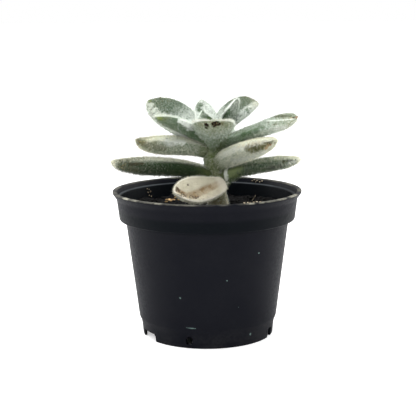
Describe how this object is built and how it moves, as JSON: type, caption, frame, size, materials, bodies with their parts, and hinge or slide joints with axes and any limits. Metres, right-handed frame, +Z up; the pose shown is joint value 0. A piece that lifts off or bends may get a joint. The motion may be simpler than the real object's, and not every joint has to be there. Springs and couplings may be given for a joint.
{
  "type": "potted frosty echeveria",
  "caption": "Velvety rosette succulent on a short leaning stem, rooted in soil in a black plastic nursery pot with a stepped collar and a rolled lip.",
  "frame": {"origin": "middle of the pot's underside, at the level that its foot ring stands on", "axes": "+Z up along the pot's axis, -Y the front of the plant, +X to the right seen from the front"},
  "size_m": [0.1, 0.1, 0.1256],
  "materials": {
    "pot": "black moulded plastic, matte, a little dusty",
    "soil": "dark peat mix with bark chips",
    "stem": "olive green, short pale hairs",
    "leaf": "frosted grey-green velvet",
    "withered_leaf": "cream velvet with a tan crease"
  },
  "bodies": {
    "root": {"pot": "pot", "soil": "soil", "stem": "stem", "leaf_low_left": "leaf", "leaf_low_right": "leaf", "leaf_mid_front_right": "leaf", "leaf_back": "leaf", "leaf_back_right": "leaf", "leaf_back_left": "leaf", "leaf_mid_left": "leaf", "leaf_mid_right": "leaf", "leaf_upper_front_left": "leaf", "leaf_upper_front": "leaf", "leaf_upper_back_left": "leaf", "leaf_upper_back_right": "leaf", "leaf_inner_back": "leaf", "leaf_inner_right": "leaf", "leaf_inner_front": "leaf", "leaf_withered": "withered_leaf", "heart": "leaf"}
  },
  "joints": []
}
